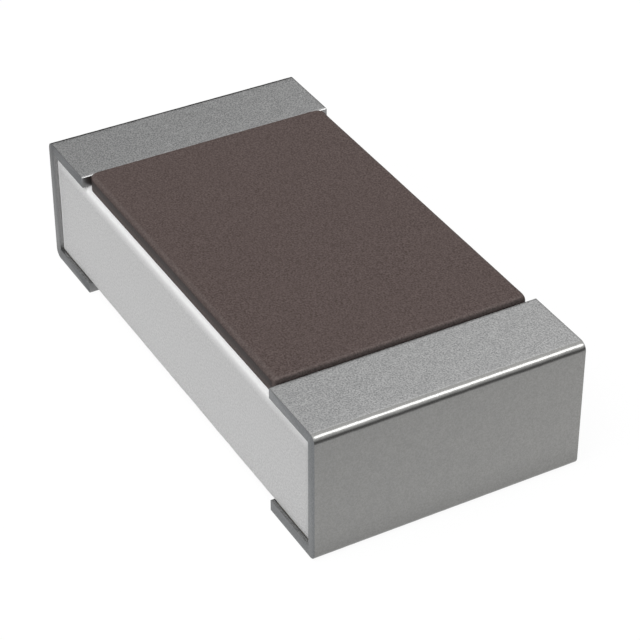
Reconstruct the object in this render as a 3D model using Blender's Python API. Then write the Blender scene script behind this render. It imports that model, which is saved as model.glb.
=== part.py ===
"""Surface-mount film resistor chip, 1.60 x 0.80 x 0.41 mm.

A ceramic block carries a resistor film under a glass undercoat and a resin overcoat. Round each end goes
a C-shaped termination, built up in layers: printed electrodes, an edge electrode, a nickel barrier and tin.

Frame: X along the chip, Y across it, Z up. The origin is the middle of the chip, halfway between the
surface that it stands on and the top of the overcoat. Lengths are in metres, written through MM.
"""

import math

import bmesh
import bpy
from mathutils import Matrix, Vector

MM = 0.001

# Ceramic block. Its long upper edges have a wider rounding, the shoulders, between the terminations
CERAMIC_LENGTH = 1.532 * MM
CERAMIC_WIDTH = 0.780 * MM
CERAMIC_HEIGHT = 0.332 * MM
CERAMIC_EDGE_RADIUS = 0.004 * MM
CERAMIC_SHOULDER_RADIUS = 0.022 * MM

# Clearance between each layer and the next
FILM_GAP = 0.001 * MM

# Printed electrodes, on the top and the underside of the ceramic, and their distance from its sides
ELECTRODE_THICKNESS = 0.010 * MM
ELECTRODE_INSET = 0.040 * MM

# Edge electrode round each end of the ceramic
EDGE_FACE_THICKNESS = 0.015 * MM
EDGE_LEG_THICKNESS = 0.004 * MM
EDGE_LEG_LENGTH = 0.130 * MM
EDGE_BEND_RADIUS = 0.0065 * MM

# Nickel barrier, with the rim that closes it round the edge electrode's sides and leg ends
NICKEL_THICKNESS = 0.007 * MM
NICKEL_RIM = 0.006 * MM

# Tin, with a rim of the same kind. Its leg length runs from the chip's end to the leg's inner end
TIN_THICKNESS = 0.009 * MM
TIN_RIM = 0.010 * MM
TIN_LEG_LENGTH = 0.236 * MM
TIN_LEG_END_RADIUS = 0.005 * MM

# Resistor film, which laps onto both inner electrodes, and its distance from their sides
FILM_THICKNESS = 0.008 * MM
FILM_LAP = 0.045 * MM
FILM_INSET = 0.100 * MM

# Laser-trimmed slot through the film and the glass: in from the film's edge, then along the chip
TRIM_KERF = 0.030 * MM
TRIM_PLACE = 0.110 * MM
TRIM_DEPTH = 0.230 * MM
TRIM_RUN = 0.240 * MM

# Glass undercoat, and how far it reaches past the film all round
GLASS_THICKNESS = 0.007 * MM
GLASS_MARGIN = 0.025 * MM

# Resin overcoat: its cover over the glass and at both ends, and its distance from the ceramic's sides
OVERCOAT_COVER = 0.017 * MM
OVERCOAT_END_WALL = 0.038 * MM
OVERCOAT_INSET = 0.009 * MM
OVERCOAT_CORNER_RADIUS = 0.028 * MM
OVERCOAT_RIM_RADIUS = 0.018 * MM

# Least height by which the first facet of a rounding leaves the face beside it
FACET_RISE = 0.0012 * MM

# How far a cutter runs past the surface that it opens
CUTTER_REACH = 0.020 * MM

# How far the outer face of each layer stands off the ceramic: the plated ones above and below it
ELECTRODE_REACH = FILM_GAP + ELECTRODE_THICKNESS
EDGE_REACH = ELECTRODE_REACH + FILM_GAP + EDGE_LEG_THICKNESS
NICKEL_REACH = EDGE_REACH + FILM_GAP + NICKEL_THICKNESS
TIN_REACH = NICKEL_REACH + FILM_GAP + TIN_THICKNESS

# The same for the layers that lie over the inner electrodes
FILM_REACH = ELECTRODE_REACH + FILM_GAP + FILM_THICKNESS
GLASS_REACH = FILM_REACH + FILM_GAP + GLASS_THICKNESS
OVERCOAT_REACH = GLASS_REACH + FILM_GAP + OVERCOAT_COVER

# Heights from the middle of the chip
OVERALL_HEIGHT = TIN_REACH + CERAMIC_HEIGHT + max(OVERCOAT_REACH, TIN_REACH)
CERAMIC_BOTTOM = TIN_REACH - OVERALL_HEIGHT / 2
CERAMIC_TOP = CERAMIC_BOTTOM + CERAMIC_HEIGHT
GLASS_TOP = CERAMIC_TOP + GLASS_REACH
OVERCOAT_TOP = CERAMIC_TOP + OVERCOAT_REACH

# Places along X, from the middle of the chip to its end
CERAMIC_END = CERAMIC_LENGTH / 2
ELECTRODE_OUTER_END = CERAMIC_END - CERAMIC_EDGE_RADIUS
EDGE_END = CERAMIC_END + FILM_GAP + EDGE_FACE_THICKNESS
EDGE_LEG_END = CERAMIC_END - EDGE_LEG_LENGTH
NICKEL_END = EDGE_END + FILM_GAP + NICKEL_THICKNESS
TIN_END = NICKEL_END + FILM_GAP + TIN_THICKNESS
TIN_LEG_END = TIN_END - TIN_LEG_LENGTH
NICKEL_LEG_END = TIN_LEG_END + TIN_RIM + FILM_GAP
UNDERSIDE_ELECTRODE_LEG_END = NICKEL_LEG_END + NICKEL_RIM + FILM_GAP
OVERCOAT_END = TIN_LEG_END - FILM_GAP
GLASS_END = OVERCOAT_END - OVERCOAT_END_WALL
FILM_END = GLASS_END - GLASS_MARGIN
INNER_ELECTRODE_LEG_END = FILM_END - FILM_LAP

# Half widths along Y
CERAMIC_SIDE = CERAMIC_WIDTH / 2
NICKEL_SIDE = CERAMIC_SIDE - FILM_GAP
EDGE_SIDE = NICKEL_SIDE - NICKEL_RIM - FILM_GAP
TIN_SIDE = CERAMIC_SIDE + TIN_RIM
ELECTRODE_SIDE = CERAMIC_SIDE - ELECTRODE_INSET
FILM_SIDE = ELECTRODE_SIDE - FILM_INSET
GLASS_SIDE = FILM_SIDE + GLASS_MARGIN
OVERCOAT_SIDE = CERAMIC_SIDE - OVERCOAT_INSET

# Bends of the plated layers, each concentric with the one inside it
NICKEL_BEND_RADIUS = EDGE_BEND_RADIUS + FILM_GAP + NICKEL_THICKNESS
TIN_BEND_RADIUS = NICKEL_BEND_RADIUS + FILM_GAP + TIN_THICKNESS


def clear_scene():
    for item in list(bpy.data.objects):
        bpy.data.objects.remove(item)


def make_material(name, colour, roughness, metallic=0.0):
    material = bpy.data.materials.new(name)
    material.use_nodes = True
    shader = material.node_tree.nodes["Principled BSDF"]
    shader.inputs["Base Color"].default_value = (*colour, 1.0)
    shader.inputs["Roughness"].default_value = roughness
    shader.inputs["Metallic"].default_value = metallic
    material.diffuse_color = (*colour, 1.0)
    return material


def add_object(name, shape, material=None):
    """Turns a bmesh into a named object in the scene."""
    bmesh.ops.recalc_face_normals(shape, faces=shape.faces)
    mesh = bpy.data.meshes.new(name)
    shape.to_mesh(mesh)
    shape.free()
    item = bpy.data.objects.new(name, mesh)
    bpy.context.collection.objects.link(item)
    if material:
        mesh.materials.append(material)
    return item


def subtract(item, cutters):
    """Cuts each solid in the list out of an object, and keeps the result as the object's own mesh."""
    helpers = [add_object(f"{item.name}_cutter", shape) for shape in cutters]
    for helper in helpers:
        helper.hide_render = True
        helper.display_type = "WIRE"
        cut = item.modifiers.new(helper.name, "BOOLEAN")
        cut.operation = "DIFFERENCE"
        cut.solver = "EXACT"
        cut.object = helper
    evaluated = item.evaluated_get(bpy.context.evaluated_depsgraph_get())
    result = bpy.data.meshes.new_from_object(evaluated)
    item.modifiers.clear()
    item.data = result
    for helper in helpers:
        bpy.data.objects.remove(helper)
    return item


def turned_copy(item):
    """The same piece at the other end of the chip."""
    copy = bpy.data.objects.new(item.name.replace("right", "left"), item.data)
    copy.rotation_euler = (0.0, 0.0, math.pi)
    bpy.context.collection.objects.link(copy)
    return copy


def quarter_steps(radius):
    """Facets in a quarter turn of this radius, so that none is too shallow to hold."""
    widest = math.acos(max(1.0 - FACET_RISE / radius, 0.0))
    return max(1, int(math.pi / 2 / widest))


def box(low, high):
    """A closed box between two corners."""
    shape = bmesh.new()
    low, high = Vector(low), Vector(high)
    place = Matrix.Translation((low + high) / 2) @ Matrix.Diagonal((*(high - low), 1.0))
    bmesh.ops.create_cube(shape, size=1.0, matrix=place)
    return shape


def round_edges(shape, edges, radius):
    bmesh.ops.bevel(
        shape,
        geom=edges,
        offset=radius,
        segments=quarter_steps(radius),
        profile=0.5,
        affect="EDGES",
    )


def prism(outline, travel):
    """A closed solid, extruded from a flat outline of 3-D points."""
    shape = bmesh.new()
    face = shape.faces.new([shape.verts.new(point) for point in outline])
    moved = bmesh.ops.extrude_face_region(shape, geom=[face])["geom"]
    corners = [part for part in moved if isinstance(part, bmesh.types.BMVert)]
    bmesh.ops.translate(shape, verts=corners, vec=travel)
    return shape


def section_prism(outline, side):
    """A solid of constant X-Z section that runs across the chip from side to side."""
    return prism([(x, -side, z) for x, z in outline], (0.0, 2 * side, 0.0))


def corner(across, z, radius, start):
    """One corner of an upright outline: a quarter arc from the start angle, in degrees, or a sharp point."""
    if radius == 0.0:
        return [(across, z)]
    first = math.radians(start)
    middle = first + math.pi / 4
    centre = across - math.copysign(radius, math.cos(middle))
    centre_z = z - math.copysign(radius, math.sin(middle))
    steps = quarter_steps(radius)
    angles = [first + math.pi / 2 * step / steps for step in range(steps + 1)]
    return [(centre + radius * math.cos(a), centre_z + radius * math.sin(a)) for a in angles]


def shoulder_arc(grow=0.0):
    """One shoulder of the ceramic in the Y-Z plane, from its side up onto its top."""
    return corner(CERAMIC_SIDE + grow, CERAMIC_TOP + grow, CERAMIC_SHOULDER_RADIUS + grow, 0)


def shoulder_space(sign):
    """What one shoulder takes off the square ceramic, from termination to termination."""
    arc = shoulder_arc()
    outer, high = CERAMIC_SIDE + CUTTER_REACH, CERAMIC_TOP + CUTTER_REACH
    outline = [*arc, (arc[-1][0], high), (outer, high), (outer, arc[0][1])]
    return prism([(-TIN_LEG_END, sign * y, z) for y, z in outline], (2 * TIN_LEG_END, 0.0, 0.0))


def overcoat_seat():
    """The ceramic's top and shoulders, grown, as the cutter that shapes the overcoat's underside."""
    arc = shoulder_arc(FILM_GAP)
    half = [(arc[0][0], arc[0][1] - CUTTER_REACH), *arc]
    end = OVERCOAT_END + CUTTER_REACH
    outline = half + [(-y, z) for y, z in reversed(half)]
    return prism([(-end, y, z) for y, z in outline], (2 * end, 0.0, 0.0))


def end_block(leg_end, end, reach, side, bend_radius, grow=0.0, leg_end_radius=0.0):
    """The outer form of one layer of the right termination, grown where it serves as a cutter."""
    leg_end, end = leg_end - grow, end + grow
    bottom, top = CERAMIC_BOTTOM - reach - grow, CERAMIC_TOP + reach + grow
    outline = [
        *corner(leg_end, bottom, leg_end_radius, 180),
        *corner(end, bottom, bend_radius + grow, 270),
        *corner(end, top, bend_radius + grow, 0),
        *corner(leg_end, top, leg_end_radius, 90),
    ]
    return section_prism(outline, side + grow)


def edge_form(grow=0.0):
    return end_block(EDGE_LEG_END, EDGE_END, EDGE_REACH, EDGE_SIDE, EDGE_BEND_RADIUS, grow)


def nickel_form(grow=0.0):
    return end_block(NICKEL_LEG_END, NICKEL_END, NICKEL_REACH, NICKEL_SIDE, NICKEL_BEND_RADIUS, grow)


def tin_form():
    return end_block(
        TIN_LEG_END,
        TIN_END,
        TIN_REACH,
        TIN_SIDE,
        TIN_BEND_RADIUS,
        leg_end_radius=TIN_LEG_END_RADIUS,
    )


def ceramic_space():
    """The ceramic's place inside a termination, open at both sides and towards the middle."""
    return box(
        (TIN_LEG_END - CUTTER_REACH, -TIN_SIDE - CUTTER_REACH, CERAMIC_BOTTOM - FILM_GAP),
        (CERAMIC_END + FILM_GAP, TIN_SIDE + CUTTER_REACH, CERAMIC_TOP + FILM_GAP),
    )


def electrode_spaces():
    """The places of both printed electrodes under the layers that are plated over them."""
    side = ELECTRODE_SIDE + FILM_GAP
    outer_end = ELECTRODE_OUTER_END + FILM_GAP
    reach = ELECTRODE_REACH + FILM_GAP
    above = box(
        (INNER_ELECTRODE_LEG_END - FILM_GAP, -side, CERAMIC_TOP - CUTTER_REACH),
        (outer_end, side, CERAMIC_TOP + reach),
    )
    below = box(
        (UNDERSIDE_ELECTRODE_LEG_END - FILM_GAP, -side, CERAMIC_BOTTOM - reach),
        (outer_end, side, CERAMIC_BOTTOM + CUTTER_REACH),
    )
    return [above, below]


def coat(end, side, thickness, reach_down=0.0):
    """A coat that lies on the ceramic in the middle and steps up onto both inner electrodes.

    reach_down carries its underside down and outwards, for use as a cutter.
    """
    step = INNER_ELECTRODE_LEG_END - FILM_GAP + reach_down
    low = CERAMIC_TOP + FILM_GAP - reach_down
    high = low + ELECTRODE_REACH
    thickness += reach_down
    half = [
        (step, low),
        (step, high),
        (end, high),
        (end, high + thickness),
        (step - thickness, high + thickness),
        (step - thickness, low + thickness),
    ]
    return section_prism(half + [(-x, z) for x, z in reversed(half)], side)


def trim_slot():
    """The laser's L-shaped path, as a solid that passes through the film and the glass."""
    outer = -GLASS_SIDE - CUTTER_REACH
    far = TRIM_DEPTH - FILM_SIDE
    near = far - TRIM_KERF
    left, right = TRIM_PLACE - TRIM_KERF / 2, TRIM_PLACE + TRIM_KERF / 2
    run_end = right - TRIM_RUN
    path = [(left, outer), (right, outer), (right, far), (run_end, far), (run_end, near), (left, near)]
    low, high = CERAMIC_TOP - CUTTER_REACH, GLASS_TOP + CUTTER_REACH
    return prism([(x, y, low) for x, y in path], (0.0, 0.0, high - low))


def make_ceramic(material):
    shape = box(
        (-CERAMIC_END, -CERAMIC_SIDE, CERAMIC_BOTTOM),
        (CERAMIC_END, CERAMIC_SIDE, CERAMIC_TOP),
    )
    round_edges(shape, shape.edges[:], CERAMIC_EDGE_RADIUS)
    item = add_object("ceramic_substrate", shape, material)
    return subtract(item, [shoulder_space(1), shoulder_space(-1)])


def make_inner_electrode(material):
    shape = box(
        (INNER_ELECTRODE_LEG_END, -ELECTRODE_SIDE, CERAMIC_TOP + FILM_GAP),
        (ELECTRODE_OUTER_END, ELECTRODE_SIDE, CERAMIC_TOP + ELECTRODE_REACH),
    )
    return add_object("inner_electrode_right", shape, material)


def make_underside_electrode(material):
    shape = box(
        (UNDERSIDE_ELECTRODE_LEG_END, -ELECTRODE_SIDE, CERAMIC_BOTTOM - ELECTRODE_REACH),
        (ELECTRODE_OUTER_END, ELECTRODE_SIDE, CERAMIC_BOTTOM - FILM_GAP),
    )
    return add_object("underside_electrode_right", shape, material)


def make_edge_electrode(material):
    item = add_object("edge_electrode_right", edge_form(), material)
    return subtract(item, [ceramic_space(), *electrode_spaces()])


def make_nickel_barrier(material):
    item = add_object("nickel_barrier_right", nickel_form(), material)
    return subtract(item, [ceramic_space(), *electrode_spaces(), edge_form(FILM_GAP)])


def make_tin_terminal(material):
    item = add_object("tin_terminal_right", tin_form(), material)
    return subtract(item, [ceramic_space(), *electrode_spaces(), nickel_form(FILM_GAP)])


def make_resistor_film(material):
    item = add_object("resistor_film", coat(FILM_END, FILM_SIDE, FILM_THICKNESS), material)
    return subtract(item, [trim_slot()])


def make_glass_undercoat(material):
    outer = coat(GLASS_END, GLASS_SIDE, GLASS_REACH - ELECTRODE_REACH - FILM_GAP)
    film_space = coat(
        FILM_END + FILM_GAP,
        FILM_SIDE + FILM_GAP,
        FILM_REACH - ELECTRODE_REACH,
        CUTTER_REACH,
    )
    item = add_object("glass_undercoat", outer, material)
    return subtract(item, [film_space, trim_slot()])


def make_overcoat(material):
    """A low block with rounded corners and rim, hollowed over the ceramic, the glass and the inner electrodes.

    Along its sides it reaches down onto the ceramic's rounded shoulders.
    """
    shape = box(
        (-OVERCOAT_END, -OVERCOAT_SIDE, CERAMIC_TOP - CERAMIC_SHOULDER_RADIUS),
        (OVERCOAT_END, OVERCOAT_SIDE, OVERCOAT_TOP),
    )
    upright = [edge for edge in shape.edges if edge.verts[0].co.xy == edge.verts[1].co.xy]
    round_edges(shape, upright, OVERCOAT_CORNER_RADIUS)
    lid = max(shape.faces, key=lambda face: face.calc_center_median().z)
    round_edges(shape, lid.edges[:], OVERCOAT_RIM_RADIUS)
    item = add_object("protective_overcoat", shape, material)

    glass_space = coat(
        GLASS_END + FILM_GAP,
        GLASS_SIDE + FILM_GAP,
        GLASS_REACH - ELECTRODE_REACH,
        CUTTER_REACH,
    )
    inner = INNER_ELECTRODE_LEG_END - FILM_GAP
    outer = OVERCOAT_END + CUTTER_REACH
    side = ELECTRODE_SIDE + FILM_GAP
    bottom, top = CERAMIC_TOP - CUTTER_REACH, CERAMIC_TOP + ELECTRODE_REACH + FILM_GAP
    right_space = box((inner, -side, bottom), (outer, side, top))
    left_space = box((-outer, -side, bottom), (-inner, side, top))
    return subtract(item, [overcoat_seat(), glass_space, right_space, left_space])


def main():
    clear_scene()
    make_ceramic(make_material("alumina", (0.86, 0.86, 0.86), 0.55))
    make_resistor_film(make_material("resistor_paste", (0.03, 0.03, 0.035), 0.60))
    make_glass_undercoat(make_material("glass_coat", (0.10, 0.16, 0.14), 0.25))
    make_overcoat(make_material("resin_overcoat", (0.082, 0.061, 0.056), 0.60))
    silver = make_material("printed_silver", (0.72, 0.70, 0.66), 0.40, 1.0)
    right_end = [
        make_inner_electrode(silver),
        make_underside_electrode(silver),
        make_edge_electrode(make_material("edge_conductor", (0.45, 0.44, 0.43), 0.45, 1.0)),
        make_nickel_barrier(make_material("nickel", (0.55, 0.51, 0.45), 0.35, 1.0)),
        make_tin_terminal(make_material("tin", (0.31, 0.31, 0.305), 0.45, 1.0)),
    ]
    for piece in right_end:
        turned_copy(piece)


main()
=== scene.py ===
import math

import bmesh
import bpy
from mathutils import Matrix, Vector, noise


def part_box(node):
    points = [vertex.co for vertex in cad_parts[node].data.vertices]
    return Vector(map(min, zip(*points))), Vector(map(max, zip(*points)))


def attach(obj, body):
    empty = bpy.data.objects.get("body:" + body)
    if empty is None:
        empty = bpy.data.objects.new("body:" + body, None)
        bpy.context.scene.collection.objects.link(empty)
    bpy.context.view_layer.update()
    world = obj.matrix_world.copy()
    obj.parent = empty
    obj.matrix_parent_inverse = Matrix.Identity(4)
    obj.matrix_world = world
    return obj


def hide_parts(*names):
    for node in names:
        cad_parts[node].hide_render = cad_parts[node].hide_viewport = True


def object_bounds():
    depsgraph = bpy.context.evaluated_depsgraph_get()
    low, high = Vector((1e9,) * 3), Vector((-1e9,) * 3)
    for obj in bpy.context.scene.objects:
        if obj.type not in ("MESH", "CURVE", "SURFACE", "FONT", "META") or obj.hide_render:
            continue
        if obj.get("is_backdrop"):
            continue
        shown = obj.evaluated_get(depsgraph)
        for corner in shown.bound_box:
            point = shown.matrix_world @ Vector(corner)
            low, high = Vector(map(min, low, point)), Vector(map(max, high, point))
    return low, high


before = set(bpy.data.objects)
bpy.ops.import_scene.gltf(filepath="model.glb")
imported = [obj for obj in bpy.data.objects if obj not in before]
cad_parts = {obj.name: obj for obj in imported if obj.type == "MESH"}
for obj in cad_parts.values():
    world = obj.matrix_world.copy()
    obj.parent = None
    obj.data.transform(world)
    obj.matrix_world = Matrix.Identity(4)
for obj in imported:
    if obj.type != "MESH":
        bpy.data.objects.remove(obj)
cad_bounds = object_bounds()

UM = 1e-6
MM = 1e-3

# Camera: focal length in pixels of a 640-pixel frame, the angles that it looks along, and its place
FRAME_PIXELS = 640
FOCAL_PIXELS = 2327.13
SENSOR_WIDTH = 36.0
CAMERA_AZIMUTH = math.radians(60.838)
CAMERA_ELEVATION = math.radians(35.615)
CAMERA_PLACE = Vector((4.6784, -2.5486, 3.7258)) * MM
CAMERA_CLIP = (0.01 * MM, 1.0)

# Clearance between neighbouring pieces
FILM_GAP = 1.0 * UM

# How far a cutter runs past the surface that it opens
CUTTER_REACH = 20.0 * UM

# Edges that turn by more than this, in degrees, stay sharp
SHARP_ANGLE = 38.0

# Corners closer than this become one
WELD_DISTANCE = 0.01 * UM

# Relief: the step from seed to seed, and the scale and share of its finer part
SEED_STEP = Vector((17.0, 5.0, 11.0))
FINER_SCALE = 2.1
FINER_SHARE = 0.5

# Terminations: rounding of their bends and of their side edges, then their cells and relief
TIN_BEND_RADIUS = 24.5 * UM
NICKEL_BEND_RADIUS = 14.5 * UM
SIDE_EDGE_RADIUS = 0.4 * UM
BEND_STEPS = 14
LEG_END_STEPS = 4
SIDE_STEPS = 3
TIN_CELL = 8.0 * UM
TIN_RELIEF = 0.30 * UM
TIN_RELIEF_LENGTH = 22.0 * UM
# At each end: rounding of the legs' inner ends, turn about Z, and seed of the relief
ENDS = {
    "right": (2.0 * UM, 0.0, 1.0),
    "left": (3.5 * UM, math.pi, 2.0),
}

# Ceramic block. Its long upper edges have a wider rounding, the shoulders, between the terminations
CERAMIC_EDGE_RADIUS = 4.0 * UM
CERAMIC_END_RADIUS = 1.0 * UM
CERAMIC_EDGE_STEPS = 4
SHOULDER_RADIUS = 22.0 * UM
SHOULDER_STEPS = 12
CERAMIC_CELL = 16.0 * UM
CERAMIC_RELIEF = 0.5 * UM
CERAMIC_RELIEF_LENGTH = 45.0 * UM
CERAMIC_SEED = 3.0

# Resin coat
COAT_CORNER_RADIUS = 28.0 * UM
COAT_RIM_RADIUS = 18.0 * UM
COAT_RIM_STEPS = 8
COAT_CELL = 14.0 * UM
COAT_WALL_ROWS = 4
COAT_RELIEF = 0.45 * UM
COAT_RELIEF_LENGTH = 70.0 * UM
COAT_SEED = 5.0
# Its rim drops less beside the left leg and more along the +Y side: shares of the full drop, and
# the distances from the edge at which they start and are complete
COAT_LEFT_DROP = 0.55
COAT_BACK_DROP = 1.22
COAT_EASE_START = 44.0 * UM
COAT_EASE_FULL = 24.0 * UM

# Lamps: direction from the chip, strength, angle across in degrees, and the part of a finish lit
LAMPS = {
    "key": ((0.412, 0.434, 0.801), 0.60, 24.0, "glossy"),
    "overhead": ((0.20, -0.48, 0.854), 2.4, 60.0, "diffuse"),
    "fill": ((-0.10, 0.96, 0.26), 1.0, 40.0, "diffuse"),
}

# Every group of four numbers from here on is a span: from low, from high, to low, to high

# Floor: its size, its colour for matt surfaces, and its glow and its shaded share to the camera
FLOOR_RADIUS = 3.2 * MM
FLOOR_SIDES = 96
FLOOR_COLOUR = 0.45
FLOOR_GLOW = 0.935
FLOOR_SHADE = 0.075
# Its level in reflections over the distance from the chip's outline: a painted shadow near it, and
# dimmer far away
FLOOR_NEAR = (-0.02 * MM, 0.08 * MM, 0.65, 0.96)
FLOOR_FAR = (0.50 * MM, 1.40 * MM, 1.0, 0.24)

# Sky in reflections: over height, and over the way towards one side
SKY_RISE = (0.15, 0.62, 0.20, 1.42)
SKY_SIDE = (0.885, 0.0, 0.465)
SKY_TURN = (-0.592, -0.237, 0.04, 1.42)

# Even light from all round, over height
AMBIENT = (0.0, 0.9, 0.18, 0.30)

# In the finishes a noise is its length, detail and roughness. A colour is a grey level or three
# levels, and a pair of colours is the dark and the light of a grain. Places are in metres, and a
# facing is how far a face looks along an axis, from 0 to 1
GRAIN = (0.32, 0.68, 0.0, 1.0)

# Tin: its noises, colours and roughness
TIN_GRAIN = (4.2 * UM, 1.0, 0.6)
TIN_BLOTCH = (40.0 * UM, 3.0, 0.55)
TIN_SMOOTH = ((0.244, 0.242, 0.234), (0.296, 0.294, 0.286))
TIN_FLAT = ((0.258, 0.260, 0.261), (0.486, 0.486, 0.483))
# Painted shade: the left leg's level faces are darker than the right's
TIN_FLAT_LEFT_SHADED = ((0.244, 0.246, 0.247), (0.460, 0.460, 0.457))
# Painted shade: the narrow sides are darker and cooler than the level faces
TIN_SIDE_SHADED = ((0.120, 0.128, 0.135), (0.200, 0.206, 0.212))
# Painted light: the inner walls beside the ceramic are lighter
TIN_INNER_LIT = (0.36, 0.42)
# Painted shade on the leg tips' end faces, and a painted highlight along their upper edges
TIN_TIP_FACE_SHADE = 0.195
TIN_TIP_HIGHLIGHT = 0.48
# Painted shadow on the legs' inner shelves under the ceramic
TIN_LEDGE_SHADOW = 0.05
# The dark tone of the blotches, and of the painted shade towards the front
TIN_BLOTCH_AND_SHADE = (0.17, 0.175, 0.18)
TIN_ROUGHNESS = 0.34
TIN_BEND_GLOSS = 0.12
TIN_FLAT_MATT = 0.02
TIN_GRAIN_HEIGHT = 0.6 * UM
# Spans over a facing: level, not upright, the painted shade turning towards level, to the side, to
# the end
LEVEL_SPAN = (0.985, 0.999, 0.0, 1.0)
BENT_SPAN = (0.02, 0.25, 0.0, 1.0)
TURNING_SHADE_SPAN = (0.30, 0.75, 0.0, 0.10)
SIDEWAYS_SPAN = (0.6, 0.95, 0.0, 1.0)
ENDWISE_SPAN = (0.8, 0.95, 0.0, 1.0)
# Spans over X: short of the end face, the painted shade towards the left, the left upright band's
# painted shade, the leg tips' painted shade and highlight
WITHIN_SPAN = (0.780 * MM, 0.786 * MM, 1.0, 0.0)
LEFT_SHADE_SPAN = (-0.4 * MM, 0.4 * MM, 1.0, 0.0)
LEFT_UPRIGHT_SHADE_SPAN = (-0.770 * MM, -0.740 * MM, 0.22, 0.0)
TIP_SPAN = (0.568 * MM, 0.572 * MM, 0.8, 0.0)
# Painted shade: how much darker the left end's side is
LEFT_SIDE_SHADE = 0.28
# Spans over Y for the painted shade towards the front, and over the height of the legs' inner faces
# for their painted shadow
FRONT_SHADE_SPAN = (-0.4 * MM, 0.4 * MM, 0.10, 0.0)
LEDGE_SHADOW_SPAN = (0.176 * MM, 0.186 * MM, 0.18, 0.0)
# Spans over the two noises, and the share of the grain's height over how level a face is
STRONG_GRAIN = (0.37, 0.63, 0.0, 1.0)
BLOTCH_SPAN = (0.3, 0.7, 0.0, 0.12)
BUMP_SPAN = (0.0, 1.0, 0.06, 1.0)

# Alumina: its noises and colours
ALUMINA_GRAIN = (5.5 * UM, 1.0, 0.6)
ALUMINA_BROAD = (90.0 * UM, 2.0, 0.5)
ALUMINA = (0.560, 0.760)
ALUMINA_MIDDLE = 0.660
# Painted light: the upper shoulders and level faces are whiter
ALUMINA_LIT = (0.955, 0.995)
# Painted shade under the coat and beside the right leg
ALUMINA_UNDER_COAT_SHADE = 0.35
ALUMINA_BESIDE_TIN_SHADE = 0.20
# Painted light beside the left leg
ALUMINA_LEFT_TIN_LIGHT = 0.97
ALUMINA_BROAD_SPAN = (0.35, 0.65, 0.0, 0.3)
ALUMINA_ROUGHNESS = (0.3, 0.7, 0.42, 0.58)
ALUMINA_GRAIN_HEIGHT = 0.3 * UM
# Spans over height: the painted light on the upper shoulder, and the painted shade just under the
# coat. Over a facing: the painted light on level faces
LIT_TOP_SPAN = (0.114 * MM, 0.146 * MM, 0.0, 1.0)
UNDER_COAT_SPAN = (0.147 * MM, 0.158 * MM, 0.0, 0.34)
UPWARD_SPAN = (0.10, 0.40, 0.0, 1.0)
# Spans over X: the painted shade just beside the right termination, and the painted light just
# beside the left one
BESIDE_SPAN = (0.734 * MM, 0.756 * MM, 0.0, 0.26)
LEFT_TIN_LIGHT_SPAN = (-0.766 * MM, -0.750 * MM, 1.0, 0.0)

# Resin: its noises and colours
RESIN_GRAIN = (5.0 * UM, 1.0, 0.65)
RESIN_BROAD = (120.0 * UM, 2.0, 0.5)
RESIN = ((0.034, 0.020, 0.017), (0.115, 0.087, 0.081))
RESIN_MIDDLE = (0.077, 0.055, 0.050)
# Painted light on the rim
RESIN_RIM_LIGHT = (0.182, 0.152, 0.144)
RESIN_BROAD_SPAN = (0.35, 0.65, 0.0, 0.15)
RESIN_ROUGHNESS = (0.3, 0.7, 0.50, 0.66)
RESIN_SPECULAR = 0.30
RESIN_GRAIN_HEIGHT = 0.9 * UM
# Spans over the facing to the front: the painted light line along the rim, its start and end, and
# the wall's painted shade
RIM_START_SPAN = (0.15, 0.5, 0.0, 0.24)
RIM_END_SPAN = (0.80, 1.0, 1.0, 0.0)
WALL_SPAN = (0.93, 0.99, 0.0, 1.0)
# How dark the wall's painted shade is over its height
WALL_HEIGHT_SPAN = (0.166 * MM, 0.180 * MM, 0.16, 0.62)
# Spans over the facing to the right: the painted light line's start and end, and the painted shade
# on the rim
PALE_START_SPAN = (0.15, 0.38, 0.0, 0.16)
PALE_END_SPAN = (0.45, 0.57, 1.0, 0.0)
DARK_SPAN = (0.50, 0.74, 0.0, 0.60)

# Hidden pieces: each finish's colours, length of grain, roughness and metallic share, and its nodes
HIDDEN = {
    "printed_silver": (
        ((0.66, 0.64, 0.60), (0.78, 0.76, 0.72)), 5.0 * UM, 0.42, 1.0,
        (
            "inner_electrode_left", "inner_electrode_right",
            "underside_electrode_left", "underside_electrode_right",
        ),
    ),
    "edge_conductor": (
        ((0.40, 0.39, 0.38), (0.50, 0.49, 0.48)), 4.0 * UM, 0.45, 1.0,
        ("edge_electrode_left", "edge_electrode_right"),
    ),
    "nickel": (
        ((0.50, 0.47, 0.41), (0.60, 0.56, 0.49)), 4.0 * UM, 0.35, 1.0,
        ("nickel_barrier_left", "nickel_barrier_right"),
    ),
    "resistor_paste": (
        ((0.020, 0.020, 0.024), (0.045, 0.045, 0.050)), 5.0 * UM, 0.60, 0.0,
        ("resistor_film",),
    ),
    "glass_coat": (
        ((0.08, 0.13, 0.11), (0.12, 0.19, 0.17)), 12.0 * UM, 0.22, 0.0,
        ("glass_undercoat",),
    ),
}
HIDDEN_NOISE = (3.0, 0.6)
HIDDEN_GRAIN = (0.3, 0.7, 0.0, 1.0)
HIDDEN_ROUGHNESS_SWING = 0.06
HIDDEN_GRAIN_HEIGHT = 0.4 * UM


# Mesh helpers


def make_object(name, shape):
    mesh = bpy.data.meshes.new(name)
    bmesh.ops.recalc_face_normals(shape, faces=shape.faces)
    shape.to_mesh(mesh)
    shape.free()
    item = bpy.data.objects.new(name, mesh)
    bpy.context.scene.collection.objects.link(item)
    return item


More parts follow.
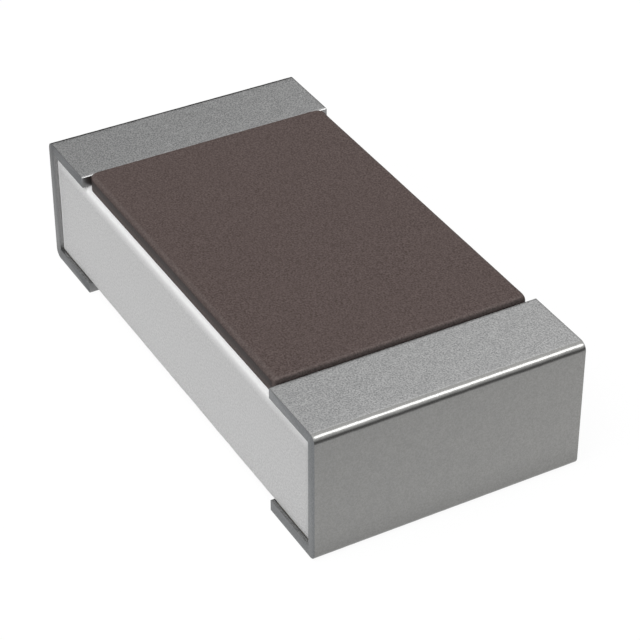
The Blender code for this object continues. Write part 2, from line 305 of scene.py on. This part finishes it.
def cut(item, cutters):
    """Cuts each solid in the list out of an object, and keeps the result as the object's mesh."""
    helpers = [make_object(f"{item.name}_cutter", shape) for shape in cutters]
    for helper in helpers:
        step = item.modifiers.new(helper.name, "BOOLEAN")
        step.operation = "DIFFERENCE"
        step.solver = "EXACT"
        step.object = helper
    evaluated = item.evaluated_get(bpy.context.evaluated_depsgraph_get())
    result = bpy.data.meshes.new_from_object(evaluated)
    item.modifiers.clear()
    item.data = result
    for helper in helpers:
        bpy.data.objects.remove(helper)


def box(low, high):
    shape = bmesh.new()
    low, high = Vector(low), Vector(high)
    place = Matrix.Translation((low + high) / 2) @ Matrix.Diagonal((*(high - low), 1.0))
    bmesh.ops.create_cube(shape, size=1.0, matrix=place)
    return shape


def prism(outline, travel):
    """A closed solid, extruded from a flat outline of 3-D points."""
    shape = bmesh.new()
    face = shape.faces.new([shape.verts.new(point) for point in outline])
    moved = bmesh.ops.extrude_face_region(shape, geom=[face])["geom"]
    corners = [part for part in moved if isinstance(part, bmesh.types.BMVert)]
    bmesh.ops.translate(shape, verts=corners, vec=travel)
    return shape


def skin(shape, near, far):
    """Faces all round between two rings of corners."""
    count = len(near)
    for k in range(count):
        shape.faces.new((near[k], near[(k + 1) % count], far[(k + 1) % count], far[k]))


def loft(shape, rings):
    """A skin through all the rings, closed by a flat face at each end."""
    for near, far in zip(rings, rings[1:]):
        skin(shape, near, far)
    shape.faces.new(rings[0])
    shape.faces.new(rings[-1])


def smooth(item):
    """Smooth shading that keeps the real edges, with flat faces shaded flat."""
    item.data.shade_smooth()
    item.data.set_sharp_from_angle(angle=math.radians(SHARP_ANGLE))
    normals = item.modifiers.new("face_normals", "WEIGHTED_NORMAL")
    normals.keep_sharp = True


def spread(start, end, step):
    """Evenly spaced values from start to end, both included, about a step apart."""
    count = max(1, round(abs(end - start) / step))
    return [start + (end - start) * k / count for k in range(count + 1)]


def relief(point, length, seed):
    """A smooth random height, about -1 to 1, that changes over the given length."""
    place = Vector(point) / length + SEED_STEP * seed
    return noise.noise(place) + FINER_SHARE * noise.noise(FINER_SCALE * place)


def quarter(across, up, radius, start, steps, inset=0.0):
    """A quarter arc into the corner at across, up, from a start angle in degrees, less an inset."""
    middle = math.radians(start + 45)
    centre_across = across - math.copysign(radius, math.cos(middle))
    centre_up = up - math.copysign(radius, math.sin(middle))
    reach = radius - inset
    turn = [math.radians(start + 90 * k / steps) for k in range(steps + 1)]
    return [(centre_across + reach * math.cos(a), centre_up + reach * math.sin(a)) for a in turn]


def rounding(reach, radius, steps):
    """Places inwards from an edge at reach, and how far its rounding is drawn in at each."""
    turn = (math.pi / 2 * k / steps for k in range(steps + 1))
    return [(reach - radius * (1 - math.cos(a)), radius * (1 - math.sin(a))) for a in turn]


def joined(arcs, cell, whole=None):
    """A closed outline through the arcs, its lines parted in cells, but for the one left whole."""
    ring = []
    for index, arc in enumerate(arcs):
        (ax, ay), (bx, by) = arc[-1], arcs[(index + 1) % len(arcs)][0]
        count = 1 if index == whole else max(1, round(math.hypot(bx - ax, by - ay) / cell))
        ring += arc
        ring += [(ax + (bx - ax) * k / count, ay + (by - ay) * k / count) for k in range(1, count)]
    return ring


# Terminations


def terminal_ring(low, high, leg_radius, inset):
    """The X-Z outline of a right termination's block, moved inwards by inset."""
    corners = [
        (low.x, low.z, leg_radius, 180, LEG_END_STEPS),
        (high.x, low.z, TIN_BEND_RADIUS, 270, BEND_STEPS),
        (high.x, high.z, TIN_BEND_RADIUS, 0, BEND_STEPS),
        (low.x, high.z, leg_radius, 90, LEG_END_STEPS),
    ]
    return joined([quarter(*corner, inset) for corner in corners], TIN_CELL, whole=3)


def make_terminal(end):
    """One tin plating, built as the right one, cut out over what it covers, turned to its end."""
    node = f"tin_terminal_{end}"
    leg_radius, turn, seed = ENDS[end]
    low, high = (Vector(corner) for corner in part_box("tin_terminal_right"))
    side = high.y
    edge = rounding(side, SIDE_EDGE_RADIUS, SIDE_STEPS)
    inner = edge[-1][0]
    rows = [(-y, inset) for y, inset in edge]
    rows += [(y, 0.0) for y in spread(-inner, inner, TIN_CELL)[1:-1]]
    rows += [(y, inset) for y, inset in reversed(edge)]

    shape = bmesh.new()
    rings = [
        [shape.verts.new((x, y, z)) for x, z in terminal_ring(low, high, leg_radius, inset)]
        for y, inset in rows
    ]
    loft(shape, rings)
    bmesh.ops.recalc_face_normals(shape, faces=shape.faces)
    shape.normal_update()
    leg_end = low.x + 2 * leg_radius
    for vert in shape.verts:
        if abs(vert.co.y) < inner - UM and vert.co.x > leg_end:
            vert.co += vert.normal * TIN_RELIEF * relief(vert.co, TIN_RELIEF_LENGTH, seed)
    item = make_object(f"tin_plating_{end}", shape)

    ceramic_low, ceramic_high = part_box("ceramic_substrate")
    top_low, top_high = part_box("inner_electrode_right")
    under_low, under_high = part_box("underside_electrode_right")
    nickel_low, nickel_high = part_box("nickel_barrier_right")
    gap = Vector((FILM_GAP,) * 3)
    reach = Vector((0, 0, CUTTER_REACH))
    ceramic_space = box(
        (low.x - CUTTER_REACH, -side - CUTTER_REACH, ceramic_low.z - FILM_GAP),
        (ceramic_high.x + FILM_GAP, side + CUTTER_REACH, ceramic_high.z + FILM_GAP),
    )
    nickel_space = box(nickel_low - gap, nickel_high + gap)
    across = [e for e in nickel_space.edges if abs(e.verts[0].co.y - e.verts[1].co.y) > side]
    bend = [e for e in across if e.verts[0].co.x > nickel_high.x]
    bmesh.ops.bevel(
        nickel_space,
        geom=bend,
        offset=NICKEL_BEND_RADIUS + FILM_GAP,
        segments=BEND_STEPS // 2,
        profile=0.5,
        affect="EDGES",
    )
    top_space = box(top_low - gap - reach, top_high + gap)
    under_space = box(under_low - gap, under_high + gap + reach)
    cut(item, [ceramic_space, top_space, under_space, nickel_space])
    if turn:
        item.data.transform(Matrix.Rotation(turn, 4, "Z"))
    smooth(item)
    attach(item, "root")
    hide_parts(node)
    return item


# Ceramic


def upper_corner(side, top, radius, shoulder):
    """The ceramic's upper right corner in Y and Z: the same ends and count, shoulder or not."""
    reach = SHOULDER_RADIUS - CERAMIC_EDGE_RADIUS + radius
    if shoulder:
        return quarter(side, top, reach, 0, SHOULDER_STEPS)
    part = SHOULDER_STEPS // 3
    arc = quarter(side, top, radius, 0, part)
    rise = [top - reach + (reach - radius) * k / part for k in range(part)]
    run = [side - radius - (reach - radius) * k / part for k in range(1, part + 1)]
    return [(side, z) for z in rise] + arc + [(y, top) for y in run]


def ceramic_ring(x, half, inset, shoulder):
    """The ceramic's Y-Z outline at one place along the chip, moved inwards by inset."""
    side, top, radius = half.y - inset, half.z - inset, CERAMIC_EDGE_RADIUS - inset
    right = upper_corner(side, top, radius, shoulder)
    left = [(-y, z) for y, z in reversed(right)]
    low_left = quarter(-side, -top, radius, 180, CERAMIC_EDGE_STEPS)
    low_right = quarter(side, -top, radius, 270, CERAMIC_EDGE_STEPS)
    ring = joined([right, left, low_left, low_right], CERAMIC_CELL)
    return [Vector((x, y, z)) for y, z in ring]


def make_ceramic():
    low, high = (Vector(corner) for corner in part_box("ceramic_substrate"))
    centre, half = (low + high) / 2, (high - low) / 2
    leg_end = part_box("tin_terminal_right")[0][0]
    flat_end = half.x - CERAMIC_END_RADIUS
    edge = rounding(half.x, CERAMIC_END_RADIUS, CERAMIC_EDGE_STEPS)[:-1]
    stations = [(-x, inset, False) for x, inset in edge]
    stations += [(x, 0.0, False) for x in spread(-flat_end, -leg_end, CERAMIC_CELL)]
    stations += [(x, 0.0, True) for x in spread(-leg_end, leg_end, CERAMIC_CELL)]
    stations += [(x, 0.0, False) for x in spread(leg_end, flat_end, CERAMIC_CELL)]
    stations += [(x, inset, False) for x, inset in reversed(edge)]

    shape = bmesh.new()
    rings = [
        [shape.verts.new(centre + point) for point in ceramic_ring(x, half, inset, shoulder)]
        for x, inset, shoulder in stations
    ]
    loft(shape, rings)
    bmesh.ops.remove_doubles(shape, verts=shape.verts, dist=WELD_DISTANCE)
    bmesh.ops.recalc_face_normals(shape, faces=shape.faces)
    shape.normal_update()
    for vert in shape.verts:
        height = relief(vert.co, CERAMIC_RELIEF_LENGTH, CERAMIC_SEED)
        vert.co += vert.normal * CERAMIC_RELIEF * height
    item = make_object("ceramic_block", shape)
    smooth(item)
    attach(item, "root")
    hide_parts("ceramic_substrate")
    return item


# Resin coat


def coat_positions(half):
    """Places across the coat, from outline to outline, close together over its rounded rim."""
    flat = half - COAT_CORNER_RADIUS
    outer = [place for place, _ in rounding(half, COAT_RIM_RADIUS, COAT_RIM_STEPS)]
    return [-p for p in outer] + spread(-flat, flat, COAT_CELL) + outer[::-1]


def on_outline(x, y, half_x, half_y):
    """Moves a point of a square plan into the round-cornered one, and gives its depth inside."""
    radius = COAT_CORNER_RADIUS
    u = (abs(x) - half_x + radius) / radius
    v = (abs(y) - half_y + radius) / radius
    if u <= 0 or v <= 0:
        return x, y, radius * (1 - max(u, v))
    reach = max(u, v)
    turn = math.pi / 4 * (v / u) if u >= v else math.pi / 2 - math.pi / 4 * (u / v)
    px = half_x - radius + radius * reach * math.cos(turn)
    py = half_y - radius + radius * reach * math.sin(turn)
    return math.copysign(px, x), math.copysign(py, y), radius * (1 - reach)


def beside_edge(distance):
    """1 beside an edge of the coat and 0 further in."""
    share = (COAT_EASE_START - distance) / (COAT_EASE_START - COAT_EASE_FULL)
    return min(max(share, 0.0), 1.0)


def coat_spaces(half_x, foot):
    """Cutters for what lies under the coat: the ceramic, the glass and the inner electrodes."""
    glass_low, glass_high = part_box("glass_undercoat")
    top_low, top_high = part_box("inner_electrode_right")
    ceramic_side, ceramic_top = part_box("ceramic_substrate")[1][1:]
    step = top_high.z - top_low.z + FILM_GAP
    lift = glass_high.z - glass_low.z - step
    inner, outer = top_low.x - FILM_GAP, half_x + CUTTER_REACH
    glass_step, glass_end = inner - lift - FILM_GAP, glass_high.x + FILM_GAP
    bottom, top, glass_top = foot - CUTTER_REACH, top_high.z + FILM_GAP, glass_high.z + FILM_GAP
    side, glass_side = top_high.y + FILM_GAP, glass_high.y + FILM_GAP

    reach = SHOULDER_RADIUS + FILM_GAP
    shoulder = quarter(ceramic_side + FILM_GAP, ceramic_top + FILM_GAP, reach, 0, SHOULDER_STEPS)
    seat = [(shoulder[0][0], bottom), *shoulder]
    seat += [(-y, z) for y, z in reversed(seat)]
    slabs = [
        (-glass_step, glass_step, glass_side, glass_high.z - step + FILM_GAP),
        (inner, outer, side, top),
        (-outer, -inner, side, top),
        (glass_step - UM, glass_end, glass_side, glass_top),
        (-glass_end, UM - glass_step, glass_side, glass_top),
    ]
    spaces = [prism([(-outer, y, z) for y, z in seat], (2 * outer, 0.0, 0.0))]
    return spaces + [box((x0, -y, bottom), (x1, y, z)) for x0, x1, y, z in slabs]


def make_coat():
    high = Vector(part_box("protective_overcoat")[1])
    half_x, half_y = high.x, high.y
    xs, ys = coat_positions(half_x), coat_positions(half_y)
    rim = COAT_RIM_RADIUS
    shape = bmesh.new()
    grid = []
    for x in xs:
        row = []
        for y in ys:
            px, py, depth = on_outline(x, y, half_x, half_y)
            drop = max(rim - depth, 0.0)
            fall = rim - math.sqrt(max(rim * rim - drop * drop, 0.0))
            less = beside_edge(half_x + px) * (1 - COAT_LEFT_DROP)
            more = beside_edge(half_y - py) * (COAT_BACK_DROP - 1)
            z = high.z - fall * (1 - less + more)
            z += COAT_RELIEF * relief((px, py, 0), COAT_RELIEF_LENGTH, COAT_SEED)
            row.append(shape.verts.new((px, py, z)))
        grid.append(row)
    for here, ahead in zip(grid, grid[1:]):
        for m in range(len(ys) - 1):
            shape.faces.new((here[m], ahead[m], ahead[m + 1], here[m + 1]))
    outline = [row[0] for row in grid] + grid[-1][1:]
    outline += [row[-1] for row in reversed(grid[:-1])] + list(reversed(grid[0][1:-1]))
    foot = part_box("ceramic_substrate")[1][2] - SHOULDER_RADIUS
    above = outline
    for k in range(1, COAT_WALL_ROWS + 1):
        share = k / COAT_WALL_ROWS
        below = [
            shape.verts.new((v.co.x, v.co.y, v.co.z + (foot - v.co.z) * share)) for v in outline
        ]
        skin(shape, above, below)
        above = below
    shape.faces.new(above)
    item = make_object("resin_coat", shape)
    cut(item, coat_spaces(half_x, foot))
    smooth(item)
    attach(item, "root")
    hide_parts("protective_overcoat")
    return item


# Node helpers


def add(tree, kind, inputs=None, **settings):
    """Adds a shader node. inputs maps a socket's name or number to a value or another socket."""
    made = tree.nodes.new("ShaderNode" + kind)
    for name, value in settings.items():
        setattr(made, name, value)
    for name, value in (inputs or {}).items():
        if isinstance(value, bpy.types.NodeSocket):
            tree.links.new(value, made.inputs[name])
        else:
            made.inputs[name].default_value = value
    return made


def new_material(name):
    material = bpy.data.materials.new(name)
    material.use_nodes = True
    tree = material.node_tree
    tree.nodes.clear()
    shader = add(tree, "BsdfPrincipled")
    output = add(tree, "OutputMaterial")
    tree.links.new(shader.outputs[0], output.inputs["Surface"])
    place = add(tree, "TexCoord").outputs
    return material, tree, shader, place


def texture(tree, place, length, detail, roughness):
    """Noise whose features are about the given length across, as a socket from 0 to 1."""
    inputs = {
        "Vector": place["Object"],
        "Scale": 1.0 / length,
        "Detail": detail,
        "Roughness": roughness,
    }
    return add(tree, "TexNoise", inputs).outputs[0]


def remap(tree, value, low, high, to_low, to_high):
    inputs = {
        "Value": value,
        "From Min": low,
        "From Max": high,
        "To Min": to_low,
        "To Max": to_high,
    }
    return add(tree, "MapRange", inputs).outputs[0]


def math_node(tree, operation, one, two=0.0):
    return add(tree, "Math", {0: one, 1: two}, operation=operation).outputs[0]


def times(tree, one, two):
    return math_node(tree, "MULTIPLY", one, two)


def absolute(tree, value):
    return math_node(tree, "ABSOLUTE", value)


def split(tree, vector):
    """The X, Y and Z of a vector."""
    return add(tree, "SeparateXYZ", {0: vector}).outputs


def along(tree, vector, direction):
    """How far a vector points along a fixed direction."""
    made = add(tree, "VectorMath", {0: vector, 1: direction}, operation="DOT_PRODUCT")
    return made.outputs["Value"]


def paint(colour):
    """A grey level or three levels as a full colour. A socket stays as it is."""
    if isinstance(colour, bpy.types.NodeSocket):
        return colour
    levels = colour if isinstance(colour, tuple) else (colour,) * 3
    return (*levels, 1)


def mix(tree, share, one, two):
    """From colour one at share 0 to colour two at share 1."""
    return add(tree, "Mix", {0: share, 6: paint(one), 7: paint(two)}, data_type="RGBA").outputs[2]


def bump(tree, height, distance, shader):
    made = add(tree, "Bump", {"Height": height, "Distance": distance, "Strength": 1.0})
    tree.links.new(made.outputs[0], shader.inputs["Normal"])


def link(tree, socket, shader, name):
    tree.links.new(socket, shader.inputs[name])


# Finishes


def tin_material():
    """Matt tin: grained on its level faces and finer on its bends. Painted shade darkens its bends'
    upper parts, sides, left end, front, tip faces and shelves; painted light brightens its inner
    walls, and its tip edges carry a painted highlight.
    """
    material, tree, shader, place = new_material("matt_tin")
    shader.inputs["Metallic"].default_value = 1.0
    facing, spot = split(tree, place["Normal"]), split(tree, place["Object"])
    grain, blotch = texture(tree, place, *TIN_GRAIN), texture(tree, place, *TIN_BLOTCH)
    share = remap(tree, grain, *GRAIN)
    strong = remap(tree, grain, *STRONG_GRAIN)
    level, end_distance = absolute(tree, facing[2]), absolute(tree, spot[0])
    flat = remap(tree, level, *LEVEL_SPAN)
    bent = math_node(tree, "SUBTRACT", remap(tree, level, *BENT_SPAN), flat)
    turning_shade = remap(tree, level, *TURNING_SHADE_SPAN)
    sideways = remap(tree, absolute(tree, facing[1]), *SIDEWAYS_SPAN)
    endwise = remap(tree, absolute(tree, facing[0]), *ENDWISE_SPAN)
    inward = times(tree, endwise, remap(tree, end_distance, *WITHIN_SPAN))
    left_shade = remap(tree, spot[0], *LEFT_SHADE_SPAN)
    left_upright_shade = remap(tree, spot[0], *LEFT_UPRIGHT_SHADE_SPAN)
    tip = remap(tree, end_distance, *TIP_SPAN)
    ledge_shadow = remap(tree, absolute(tree, spot[2]), *LEDGE_SHADOW_SPAN)

    # Painted shade: the left leg's level faces are darker
    flat_face = mix(tree, left_shade, mix(tree, share, *TIN_FLAT), mix(tree, strong, *TIN_FLAT_LEFT_SHADED))
    # Painted shade on the bends' upper parts
    bent_face = mix(tree, turning_shade, mix(tree, share, *TIN_SMOOTH), 0.0)
    # Painted shade: the narrow sides are darker, more so at the left end and its upright band
    side_shade = math_node(tree, "ADD", times(tree, left_shade, LEFT_SIDE_SHADE), left_upright_shade)
    side_face = mix(tree, side_shade, mix(tree, share, *TIN_SIDE_SHADED), 0.0)
    # Painted light on the inner walls, painted shade on the leg tips' end faces
    inner_face = mix(tree, tip, mix(tree, share, *TIN_INNER_LIT), TIN_TIP_FACE_SHADE)
    colour = mix(tree, flat, bent_face, flat_face)
    colour = mix(tree, sideways, colour, side_face)
    colour = mix(tree, inward, colour, inner_face)
    # Painted shadow on the legs' inner shelves
    colour = mix(tree, times(tree, ledge_shadow, flat), colour, TIN_LEDGE_SHADOW)
    # Painted highlight along the leg tips' rounded edges
    colour = mix(tree, times(tree, tip, bent), colour, TIN_TIP_HIGHLIGHT)
    # Blotches of tone, and painted shade towards the front
    front = remap(tree, spot[1], *FRONT_SHADE_SPAN)
    blotch_and_front_shade = math_node(tree, "ADD", remap(tree, blotch, *BLOTCH_SPAN), front)
    link(tree, mix(tree, blotch_and_front_shade, colour, TIN_BLOTCH_AND_SHADE), shader, "Base Color")
    rough = math_node(tree, "SUBTRACT", TIN_ROUGHNESS, times(tree, bent, TIN_BEND_GLOSS))
    rough = math_node(tree, "ADD", rough, times(tree, flat, TIN_FLAT_MATT))
    link(tree, rough, shader, "Roughness")
    bump(tree, times(tree, grain, remap(tree, flat, *BUMP_SPAN)), TIN_GRAIN_HEIGHT, shader)
    return material


def alumina_material():
    """Fired alumina, painted lighter on its upper shoulders, level faces and beside the left leg,
    with painted shade under the coat and by the right leg.
    """
    material, tree, shader, place = new_material("fired_alumina")
    facing, spot = split(tree, place["Normal"]), split(tree, place["Object"])
    fine, broad = texture(tree, place, *ALUMINA_GRAIN), texture(tree, place, *ALUMINA_BROAD)
    share = remap(tree, fine, *GRAIN)
    upward = remap(tree, absolute(tree, facing[2]), *UPWARD_SPAN)
    # Painted light on the upper shoulders and level faces
    lit_top = math_node(tree, "MAXIMUM", remap(tree, spot[2], *LIT_TOP_SPAN), upward)
    colour = mix(tree, share, *ALUMINA)
    colour = mix(tree, remap(tree, broad, *ALUMINA_BROAD_SPAN), colour, ALUMINA_MIDDLE)
    colour = mix(tree, lit_top, colour, mix(tree, share, *ALUMINA_LIT))
    # Painted shade just under the coat and beside the right leg
    colour = mix(tree, remap(tree, spot[2], *UNDER_COAT_SPAN), colour, ALUMINA_UNDER_COAT_SHADE)
    colour = mix(tree, remap(tree, spot[0], *BESIDE_SPAN), colour, ALUMINA_BESIDE_TIN_SHADE)
    # Painted light just beside the left leg
    colour = mix(tree, remap(tree, spot[0], *LEFT_TIN_LIGHT_SPAN), colour, ALUMINA_LEFT_TIN_LIGHT)
    link(tree, colour, shader, "Base Color")
    link(tree, remap(tree, fine, *ALUMINA_ROUGHNESS), shader, "Roughness")
    bump(tree, fine, ALUMINA_GRAIN_HEIGHT, shader)
    return material


def resin_material():
    """Matt brown resin, with painted light lines along its rim and painted shade down its front and
    beside the right leg.
    """
    material, tree, shader, place = new_material("brown_resin")
    facing, spot = split(tree, place["Normal"]), split(tree, place["Object"])
    fine, broad = texture(tree, place, *RESIN_GRAIN), texture(tree, place, *RESIN_BROAD)
    front, right = times(tree, facing[1], -1.0), facing[0]
    rim_start, rim_end = remap(tree, front, *RIM_START_SPAN), remap(tree, front, *RIM_END_SPAN)
    pale_start, pale_end = remap(tree, right, *PALE_START_SPAN), remap(tree, right, *PALE_END_SPAN)
    wall = times(tree, remap(tree, front, *WALL_SPAN), remap(tree, spot[2], *WALL_HEIGHT_SPAN))
    rim_and_wall_shade = math_node(tree, "MAXIMUM", wall, remap(tree, right, *DARK_SPAN))
    colour = mix(tree, remap(tree, fine, *GRAIN), *RESIN)
    colour = mix(tree, remap(tree, broad, *RESIN_BROAD_SPAN), colour, RESIN_MIDDLE)
    # Painted light lines along the front rim and the right rim
    colour = mix(tree, times(tree, rim_start, rim_end), colour, RESIN_RIM_LIGHT)
    colour = mix(tree, times(tree, pale_start, pale_end), colour, RESIN_RIM_LIGHT)
    # Painted shade on the front wall and the right rim
    colour = mix(tree, rim_and_wall_shade, colour, 0.0)
    link(tree, colour, shader, "Base Color")
    link(tree, remap(tree, fine, *RESIN_ROUGHNESS), shader, "Roughness")
    shader.inputs["Specular IOR Level"].default_value = RESIN_SPECULAR
    bump(tree, fine, RESIN_GRAIN_HEIGHT, shader)
    return material


def hidden_material(name, colours, length, roughness, metallic):
    """A finish that varies between two colours over the given length, with a little relief."""
    material, tree, shader, place = new_material(name)
    grain = texture(tree, place, length, *HIDDEN_NOISE)
    share = remap(tree, grain, *HIDDEN_GRAIN)
    link(tree, mix(tree, share, *colours), shader, "Base Color")
    glossy, matt = roughness - HIDDEN_ROUGHNESS_SWING, roughness + HIDDEN_ROUGHNESS_SWING
    link(tree, remap(tree, grain, *HIDDEN_GRAIN[:2], glossy, matt), shader, "Roughness")
    shader.inputs["Metallic"].default_value = metallic
    bump(tree, grain, HIDDEN_GRAIN_HEIGHT, shader)
    return material


def dress(item, material):
    item.data.materials.clear()
    item.data.materials.append(material)


# Stage


def make_floor(height):
    """A plain white floor. In reflections it has a painted shadow under the chip and is dimmer far
    away.
    """
    bpy.ops.mesh.primitive_circle_add(
        vertices=FLOOR_SIDES, radius=FLOOR_RADIUS, fill_type="NGON", location=(0, 0, height)
    )
    floor = bpy.context.object
    floor.name = "studio_floor"
    material, tree, shader, place = new_material("studio_floor")
    tree.nodes.remove(shader)
    outside = [
        math_node(tree, "SUBTRACT", absolute(tree, part), half)
        for part, half in zip(split(tree, place["Object"]), cad_bounds[1][:2])
    ]
    away = math_node(tree, "MAXIMUM", *outside)
    shine = times(tree, remap(tree, away, *FLOOR_NEAR), remap(tree, away, *FLOOR_FAR))
    path = add(tree, "LightPath").outputs
    mirrored = math_node(tree, "MAXIMUM", path["Is Glossy Ray"], path["Is Transmission Ray"])
    seen = math_node(tree, "MAXIMUM", path["Is Camera Ray"], mirrored)
    level = add(tree, "Mix", {0: path["Is Camera Ray"], 2: shine, 3: FLOOR_GLOW}).outputs[0]
    plain = add(tree, "BsdfDiffuse", {"Color": paint(FLOOR_COLOUR)})
    faint = add(tree, "BsdfDiffuse", {"Color": paint(FLOOR_SHADE)})
    glow = add(tree, "Emission", {"Color": paint(1), "Strength": level})
    bright = add(tree, "AddShader", {0: glow.outputs[0], 1: faint.outputs[0]})
    mixed = add(tree, "MixShader", {0: seen, 1: plain.outputs[0], 2: bright.outputs[0]})
    output = next(n for n in tree.nodes if n.bl_idname == "ShaderNodeOutputMaterial")
    tree.links.new(mixed.outputs[0], output.inputs["Surface"])
    dress(floor, material)
    floor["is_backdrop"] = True


def make_world():
    """Soft surroundings: white to the camera, even on matt surfaces, graded in reflections."""
    world = bpy.data.worlds.new("studio")
    bpy.context.scene.world = world
    world.use_nodes = True
    tree = world.node_tree
    tree.nodes.clear()
    direction = add(tree, "TexCoord").outputs["Generated"]
    height = split(tree, direction)[2]
    turn = remap(tree, along(tree, direction, SKY_SIDE), *SKY_TURN)
    sky = math_node(tree, "MINIMUM", remap(tree, height, *SKY_RISE), turn)
    soft = remap(tree, height, *AMBIENT)
    path = add(tree, "LightPath").outputs
    glossy = math_node(tree, "MAXIMUM", path["Is Glossy Ray"], path["Is Transmission Ray"])
    level = add(tree, "Mix", {0: glossy, 2: soft, 3: sky}).outputs[0]
    level = add(tree, "Mix", {0: path["Is Camera Ray"], 2: level, 3: 1.0}).outputs[0]
    shine = add(tree, "Background", {"Color": paint(1), "Strength": level})
    output = add(tree, "OutputWorld")
    tree.links.new(shine.outputs[0], output.inputs["Surface"])


def make_sun(name, towards, strength, angle, part):
    """A distant lamp in the given direction, for the diffuse or the glossy part of a finish."""
    data = bpy.data.lights.new(name, "SUN")
    data.energy = strength
    data.angle = math.radians(angle)
    lamp = bpy.data.objects.new(name, data)
    lamp.rotation_mode = "QUATERNION"
    lamp.rotation_quaternion = (-Vector(towards)).to_track_quat("-Z", "Y")
    lamp.visible_diffuse = part == "diffuse"
    lamp.visible_glossy = part == "glossy"
    bpy.context.scene.collection.objects.link(lamp)


def make_camera():
    data = bpy.data.cameras.new("photo_view")
    data.sensor_width = SENSOR_WIDTH
    data.lens = data.sensor_width * FOCAL_PIXELS / FRAME_PIXELS
    data.clip_start, data.clip_end = CAMERA_CLIP
    camera = bpy.data.objects.new("photo_view", data)
    level = math.cos(CAMERA_ELEVATION)
    looking = Vector(
        (
            -math.sin(CAMERA_AZIMUTH) * level,
            math.cos(CAMERA_AZIMUTH) * level,
            -math.sin(CAMERA_ELEVATION),
        )
    )
    camera.location = CAMERA_PLACE
    camera.rotation_mode = "QUATERNION"
    camera.rotation_quaternion = looking.to_track_quat("-Z", "Y")
    bpy.context.scene.collection.objects.link(camera)
    bpy.context.scene.camera = camera


def main():
    bpy.context.scene.view_settings.view_transform = "Standard"
    make_camera()
    tin = tin_material()
    for end in ENDS:
        dress(make_terminal(end), tin)
    dress(make_ceramic(), alumina_material())
    dress(make_coat(), resin_material())
    for name, (*finish, pieces) in HIDDEN.items():
        material = hidden_material(name, *finish)
        for piece in pieces:
            dress(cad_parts[piece], material)
    make_floor(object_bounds()[0].z)
    make_world()
    for name, lamp in LAMPS.items():
        make_sun(name, *lamp)


main()
